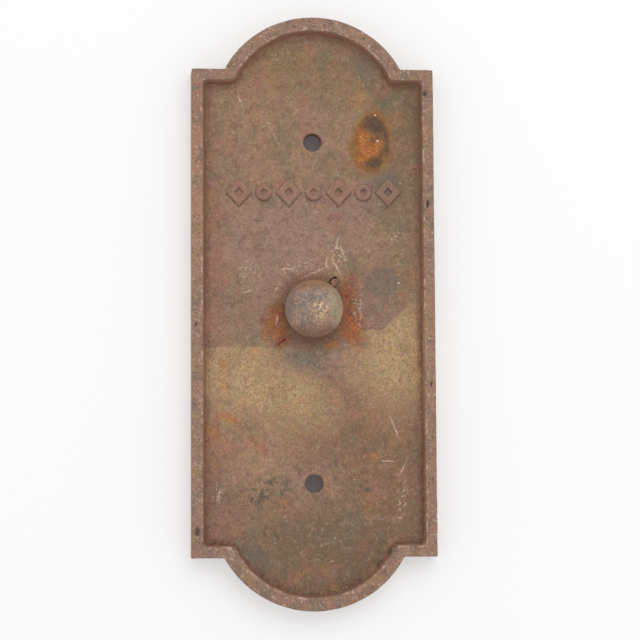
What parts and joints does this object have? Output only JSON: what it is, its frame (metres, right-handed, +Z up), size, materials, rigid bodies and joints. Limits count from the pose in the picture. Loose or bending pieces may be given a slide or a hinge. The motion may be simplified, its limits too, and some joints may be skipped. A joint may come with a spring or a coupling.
{
  "type": "pedestrian push button",
  "caption": "Cast-iron pedestrian push button: an arched, rimmed plate with a domed brass button that works a spring-loaded contact switch behind it.",
  "frame": {"origin": "centre of the plate's back land, midway between the two bolt holes, on the mounting surface", "axes": "+Z up along the plate, +Y back into the wall or pole, front faces -Y, +X to the right seen from the front"},
  "size_m": [0.127, 0.0702, 0.3088],
  "materials": {
    "rusted_iron": "rusted and pitted casting",
    "worn_brass": "tarnished, worn bright on the crown",
    "brass": "dull brass",
    "dark_steel": "oiled, lightly rusted steel",
    "plated_steel": "dull zinc plate with rust bloom",
    "spring_steel": "dark spring wire",
    "silver_point": "tarnished silver",
    "bakelite": "dark brown phenolic moulding",
    "red_fibre": "vulcanised fibre sheet",
    "felt": "oiled felt",
    "dark_cloth": "braided cotton, waxed black",
    "tan_cloth": "braided cotton, waxed tan",
    "copper": "bare copper"
  },
  "bodies": {
    "station": {"face_plate": "rusted_iron", "guide_bushing": "brass", "packing_ring": "felt", "lock_washer": "plated_steel", "bushing_nut": "plated_steel", "stop_washer": "red_fibre", "switch_frame": "plated_steel", "frame_screws": "dark_steel", "frame_screw_washers": "plated_steel", "spring_bridge": "plated_steel", "return_spring": "spring_steel", "contact_block": "bakelite", "block_screws": "dark_steel", "fixed_contact_left": "brass", "fixed_contact_right": "brass", "fixed_contact_points": "silver_point", "terminal_screws": "brass", "terminal_washers": "brass", "wire_lugs": "copper", "lead_wire_left": "dark_cloth", "lead_wire_right": "tan_cloth", "wire_cores": "copper"},
    "plunger": {"button_cap": "worn_brass", "plunger_stem": "dark_steel", "insulator_sleeve": "bakelite", "contact_spring": "spring_steel", "insulating_washer": "red_fibre", "tail_clip": "spring_steel"},
    "bridge": {"contact_bridge": "brass", "bridge_points": "silver_point"}
  },
  "joints": [
    {"name": "button_push", "type": "slide", "parent": "station", "child": "plunger", "axis": [0, 1, 0], "range_m": [0, 0.0045], "stiffness_N_per_m": 1500, "springref_m": -0.004, "deforming": ["return_spring"]},
    {"name": "bridge_float", "type": "slide", "parent": "plunger", "child": "bridge", "axis": [0, 1, 0], "range_m": [-0.0008, 0], "stiffness_N_per_m": 800, "springref_m": 0.001, "deforming": ["contact_spring"]}
  ]
}
